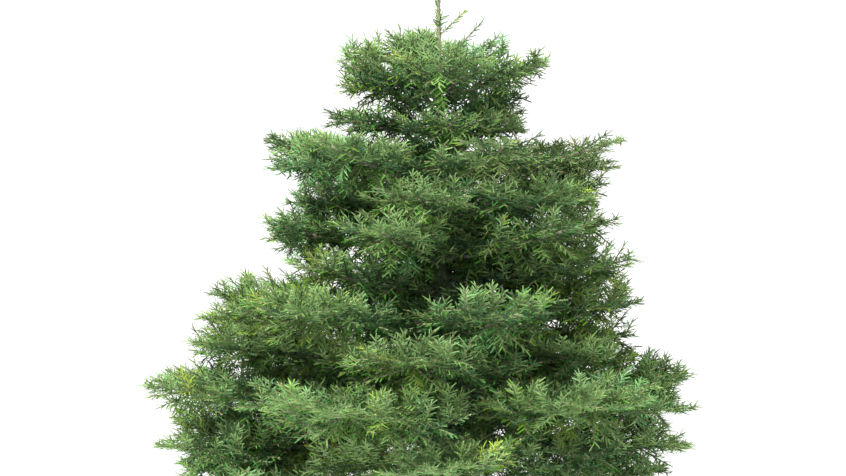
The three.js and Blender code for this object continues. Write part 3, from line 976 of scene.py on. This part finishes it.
# The twigs on the trunk: short ones between the whorls, which spring from the trunk itself and close the
# middle of the crown. They stand in a spiral, each with shoots at both sides of it in turn.
GOLDEN_ANGLE = math.radians(137.5)
TRUNK_TWIGS = 84
TWIGS_LOW = 420
TWIGS_HIGH = 1520
TWIG_LENGTH = 205
TWIG_SHARE = 0.46
TWIG_STRETCH = (0.7, 1.2)
TWIG_SLOPE = (0.3, 0.8)
TWIG_TONE = (3.1, 4.5)
TWIG_LIFT = 0.05
TWIG_SHOOTS = 6
TWIG_ANGLE = math.radians(50)
TWIG_SHOOT_SHARE = 0.62
TWIG_SHOOT_LIFT = 0.08


def add_twig(shoots, z, aim, length, tone):
    """A twig straight from the trunk's middle, with its side shoots."""
    root = trunk_middle(z)
    shoots.add(root, aim, length, TWIG_LIFT, 1, tone)
    for i in range(TWIG_SHOOTS):
        share = 0.3 + 0.1 * i
        side = turned(aim, UP, TWIG_ANGLE * (-1) ** i)
        side_length = TWIG_SHOOT_SHARE * (1.1 - share) * length
        shoots.add(root + aim * length * share, side, side_length, TWIG_SHOOT_LIFT, 2, tone)


trunk_twigs = Shoots()
fine = seeded(SEED)
for number in range(TRUNK_TWIGS):
    z = TWIGS_LOW + (TWIGS_HIGH - TWIGS_LOW) * (number + fine()) / TRUNK_TWIGS
    aim = pointing(math.degrees(number * GOLDEN_ANGLE), drawn(TWIG_SLOPE, fine))
    length = drawn(TWIG_STRETCH, fine) * min(TWIG_LENGTH, TWIG_SHARE * (TREE_HEIGHT - z))
    add_twig(trunk_twigs, z, aim, length, drawn(TWIG_TONE, fine))

# The growing of the crown: every bough into the shoots of its tier, and those of the wide tiers in a left and
# a right piece, so that none is too large. The weak boughs come last and replace no node.
WIDE_TIER = 700
grown = {"trunk": (trunk_twigs, [])}
for bough, node in boughs + weak_boughs:
    part = bough.tier.name
    if bough.tier.left > WIDE_TIER:
        part += "_left" if 90 < bough.azimuth < 270 else "_right"
    shoots, nodes = grown.setdefault(part, (Shoots(), []))
    Growth(shoots, bough).grow()
    if node:
        nodes.append(node)
for part, (shoots, nodes) in grown.items():
    shoots.arrays()
    piece = mesh_object(f"{part}_shoots", shoot_materials, *shoot_tubes(shoots))

# The needles: flat and straight, broadest at the foot, each a closed shape of four faces. They are combed to
# the sides below a shoot and stand up and forward above it. Their greens are fresher on this year's growth
# and deeper inside, in soft patches of like colour, and their undersides are paler. The greens are also
# paler on shoots standing above their spray and deeper on those hanging below: painted light and shade.
NEEDLE_LENGTH = 31
NEEDLE_LENGTHS = (0.82, 1.1)
NEEDLE_FOOT = 3.9
NEEDLE_TIP = 2.1
NEEDLE_DEPTH = 0.8
NEEDLE_STEP = 3.75
NEEDLE_GROWTH = 0.2
SPLAY = 58
SPLAY_LOSS = 16
SPLAY_WAVER = 9
NEEDLE_TWIST = 0.5
LOWEST_NEEDLE = -0.32
CLOSING_FROM = 0.82
# The fresh and bright greens are those of young growth, with some blue added to them as a painted sheen.
GREENS = {
    "fresh": (0.178, 0.280, 0.072),
    "bright": (0.120, 0.217, 0.050),
    "mature": (0.080, 0.167, 0.035),
    "deep": (0.055, 0.137, 0.021),
    "inner": (0.038, 0.114, 0.016),
}
CASTS = {
    "plain": (0.95, 1, 1),
    "olive": (1.08, 0.95, 0.5),
    "bluish": (0.76, 0.98, 1.5),
    "dull": (1.2, 0.94, 1.3),
}
UNDERSIDES = {"underside_fresh": (0.115, 0.20, 0.07), "underside_deep": (0.045, 0.10, 0.042)}
PATCH = 75
PATCH_SHARE = 0.45
DULL_FROM = 90
DULL_LOW = 1250
DULL_HIGH = 1500


def cast_at(places):
    """The cast of each shoot, as its number in CASTS: soft patches, and a dull side high up on the right."""
    x, y, z = places.T / PATCH
    wave = np.sin(x + 1.7 * np.sin(0.8 * z) + 0.6 * y) * np.sin(1.3 * z + 1.5 * np.sin(0.7 * y) - 0.5 * x)
    patch = np.where(wave > PATCH_SHARE, 1, np.where(wave < -PATCH_SHARE, 2, 0))
    dull = (places[:, 0] > DULL_FROM) & (places[:, 2] > DULL_LOW) & (places[:, 2] < DULL_HIGH)
    return np.where(dull, 3, patch)


def needles_on(shoots, full_length=NEEDLE_LENGTH, splay=SPLAY, step=NEEDLE_STEP, lowest_needle=LOWEST_NEEDLE):
    """The needles of many shoots: points, triangles and material numbers. Deep inside they are wider."""
    size = 1 + NEEDLE_GROWTH * np.clip(shoots.tones - 2, 0, 3)
    counts = np.maximum(6, (shoots.lengths / step / size).astype(int))
    shoot = np.repeat(np.arange(len(counts)), counts)
    number = np.arange(len(shoot)) - np.repeat(np.cumsum(counts) - counts, counts)
    total = len(shoot)
    share = (number + chance.uniform(0.1, 0.9, total)) / counts[shoot]
    lengths, lifts = shoots.lengths[shoot], shoots.lifts[shoot]
    root = shoots.roots[shoot] + shoots.along[shoot] * (share * lengths)[:, None]
    root += UP * (lifts * lengths * share**2)[:, None]
    along = unit(shoots.along[shoot] + UP * (2 * lifts * share)[:, None])
    across, over = square_to(along)
    phase = number * GOLDEN_ANGLE + shoot * 1.7
    upward = np.maximum(np.sin(phase), lowest_needle)
    sideways = np.sign(np.cos(phase)) * np.sqrt(1 - upward**2)
    out = across * sideways[:, None] + over * upward[:, None]
    standing = np.maximum(0, upward)
    closing = 1 - 0.5 * np.clip((share - CLOSING_FROM) / (1 - CLOSING_FROM), 0, 1)
    waver = chance.uniform(-SPLAY_WAVER, SPLAY_WAVER, total)
    angle = np.radians(splay - SPLAY_LOSS * standing + waver) * closing
    aim = along * np.cos(angle)[:, None] + out * np.sin(angle)[:, None]
    flat_width, flat_normal = square_to(aim, over * 0.8 + out * 0.5)
    twist = chance.uniform(-NEEDLE_TWIST, NEEDLE_TWIST, total)[:, None]
    width = flat_width * np.cos(twist) + flat_normal * np.sin(twist)
    normal = flat_normal * np.cos(twist) - flat_width * np.sin(twist)
    length = full_length * (1 - 0.22 * standing) * chance.uniform(*NEEDLE_LENGTHS, total)
    length *= 0.78 + 0.22 * np.sin(math.pi * share)
    tip = root + aim * length[:, None]
    half = width * size[shoot][:, None] / 2
    foot_half, tip_half, depth = half * NEEDLE_FOOT, half * NEEDLE_TIP, normal * NEEDLE_DEPTH / 2
    at_foot = [root + foot_half + depth, root - foot_half - depth]
    at_tip = [tip - tip_half + depth, tip + tip_half - depth]
    points = np.stack(at_foot + at_tip, axis=1).reshape(-1, 3)
    corners = np.array([[0, 1, 2], [0, 2, 3], [0, 3, 1], [1, 3, 2]])
    triangles = (corners[None] + 4 * np.arange(total)[:, None, None]).reshape(-1, 3)
    youth = np.where((shoots.orders[shoot] > 1) & (share > 0.35), 0.9, 0.0)
    tone = np.round(shoots.tones[shoot] - youth + chance.uniform(-0.6, 0.6, total)).astype(int)
    tone = np.clip(tone, 0, len(GREENS) - 1)
    upper = tone + len(GREENS) * cast_at(shoots.roots)[shoot]
    under = len(GREENS) * len(CASTS) + (tone > 2)
    return points, triangles, np.stack([upper, upper, under, under], axis=1).ravel()


needle_colours = {}
for cast, shift in CASTS.items():
    for age, green in GREENS.items():
        needle_colours[f"needles_{age}_{cast}"] = tuple(part * by for part, by in zip(green, shift))
needle_colours |= UNDERSIDES
needle_materials = []
for name, colour in needle_colours.items():
    needle_materials.append(plain_material(name, colour, 0.6, Specular_IOR_Level=0.05))
for part, (shoots, nodes) in grown.items():
    piece = mesh_object(f"{part}_needles", needle_materials, *needles_on(shoots))
    if nodes:
        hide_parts(*nodes)

# The leader: the top year's growth of the trunk, with its needles standing up and out all round it. A few
# side shoots stand on it, and longer twigs spread from its foot, most of them to the left.
LEADER_TOP = 1876
LEADER_NEEDLES_FROM = LEADER_FOOT - 30
LEADER_SPANS = 6
# Keeps the stem's aim off the upright, to which square_to finds no side.
LEADER_LEAN = (0.02, 0.0, 1.0)
LEADER_TONE = 2.9
FOOT_TONE = 2.5
LEADER_NEEDLES = {"full_length": 20, "splay": 38, "step": 1.7, "lowest_needle": -1}
SIDE_SLOPE = 0.85
# Height, azimuth and length, and for the twigs at the foot the slope too.
SIDE_TWIGS = ((1600, 345, 172), (1690, 4, 104), (1668, 200, 46), (1700, 95, 52), (1716, 280, 44))
FOOT_TWIGS = (
    (1548, 112, 1.3, 150),
    (1560, 150, 1.1, 172),
    (1535, 178, 0.9, 205),
    (1566, 205, 1.2, 150),
    (1545, 240, 1.3, 145),
    (1560, 188, 0.85, 205),
    (1572, 160, 1.3, 165),
    (1588, 200, 1.7, 130),
    (1594, 140, 2.2, 120),
)
leader, leader_twigs = Shoots(), Shoots()
foot, top = trunk_middle(LEADER_NEEDLES_FROM), trunk_middle(LEADER_TOP)
span = (top - foot) / LEADER_SPANS
aim = unit(top - foot + LEADER_LEAN)
for number in range(LEADER_SPANS):
    leader.add(foot + span * number, aim, np.linalg.norm(span), 0.0, 2, LEADER_TONE, False)
for z, azimuth, length in SIDE_TWIGS:
    leader_twigs.add(trunk_middle(z), pointing(azimuth, SIDE_SLOPE), length, 0.1, 2, LEADER_TONE)
for z, azimuth, slope, length in FOOT_TWIGS:
    add_twig(leader_twigs, z, pointing(azimuth, slope), length, FOOT_TONE)
leader.arrays()
leader_twigs.arrays()
piece = mesh_object("leader_shoots", shoot_materials, *shoot_tubes(leader_twigs))
*stem_needles, stem_slots = needles_on(leader, **LEADER_NEEDLES)
*twig_needles, twig_slots = needles_on(leader_twigs)
slots = np.concatenate([stem_slots, twig_slots])
piece = mesh_object("leader_foliage", needle_materials, *joined([stem_needles, twig_needles]), slots)
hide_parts("leader_needles")

# The end buds: one large bud that ends the leader and four smaller ones round it, from which the next whorl
# would grow. They are brown, egg-shaped and resinous.
BUD_SIDES = 10
BUD_RINGS = 7
# Height, azimuth, tilt from upright, length and radius.
BUDS = (
    (1886, 0, 0, 12, 4.2),
    (1883, 20, 38, 9, 3.0),
    (1882, 112, 42, 9, 3.1),
    (1884, 195, 36, 8, 2.8),
    (1881, 290, 44, 9, 3.0),
)
bud_parts = []
for z, azimuth, tilt, length, radius in BUDS:
    turn, tipped = math.radians(azimuth), math.radians(tilt)
    aim = np.array([math.cos(turn) * math.sin(tipped), math.sin(turn) * math.sin(tipped), math.cos(tipped)])
    ring = ring_round(aim, BUD_SIDES, guide=np.array([math.sin(turn), -math.cos(turn), 0.2]))
    shares = np.linspace(0.02, 0.98, BUD_RINGS)[:, None]
    widths = radius * np.sin(math.pi * shares**0.8) ** 0.7
    middle = trunk_middle(z) + aim * shares * length
    points = middle[:, None] + ring[None] * widths[:, :, None]
    bud_parts.append((points.reshape(-1, 3), tube_triangles(1, BUD_RINGS, BUD_SIDES)))
piece = mesh_object("end_buds", shoot_materials[-1:], *joined(bud_parts), smooth=True)

# The stage: a plain pale floor in soft studio light, its key from the upper left, and a camera level with the
# middle of the crown, which looks straight at the front as the photograph does.
FLOOR_RADIUS = 3.0
FLOOR_PALE = (0.86, 0.86, 0.85)
KEY_POWER = 930
FILL_POWER = 150
WORLD_STRENGTH = 1.2
CAMERA_DISTANCE = 6.0
CAMERA_LENS = 85.1
CAMERA_X = -0.045
CAMERA_Z = 1.086

floor_shape = bmesh.new()
bmesh.ops.create_circle(floor_shape, cap_ends=True, segments=96, radius=FLOOR_RADIUS)
floor = object_from("floor", floor_shape)
floor.data.materials.append(plain_material("pale_floor", FLOOR_PALE, 0.8))

world = bpy.data.worlds.new("studio")
world.use_nodes = True
world.node_tree.nodes["Background"].inputs["Color"].default_value = (1, 1, 1, 1)
world.node_tree.nodes["Background"].inputs["Strength"].default_value = WORLD_STRENGTH
bpy.context.scene.world = world


def soft_light(name, place, aim, size, power):
    lamp = bpy.data.lights.new(name, "AREA")
    lamp.size = size
    lamp.energy = power
    light = placed(name, lamp)
    light.location = place
    light.rotation_euler = (Vector(aim) - Vector(place)).to_track_quat("-Z", "Y").to_euler()


soft_light("key", (-2.6, -3.2, 4.6), (0, 0, 1.0), 1.6, KEY_POWER)
soft_light("fill", (3.5, -4.0, 2.4), (0, 0, 1.0), 2.5, FILL_POWER)

lens = bpy.data.cameras.new("camera")
lens.lens = CAMERA_LENS
camera = placed("camera", lens)
camera.location = (CAMERA_X, -CAMERA_DISTANCE, CAMERA_Z)
camera.rotation_euler = (math.pi / 2, 0, 0)
bpy.context.scene.camera = camera
bpy.context.scene.view_settings.view_transform = "Standard"
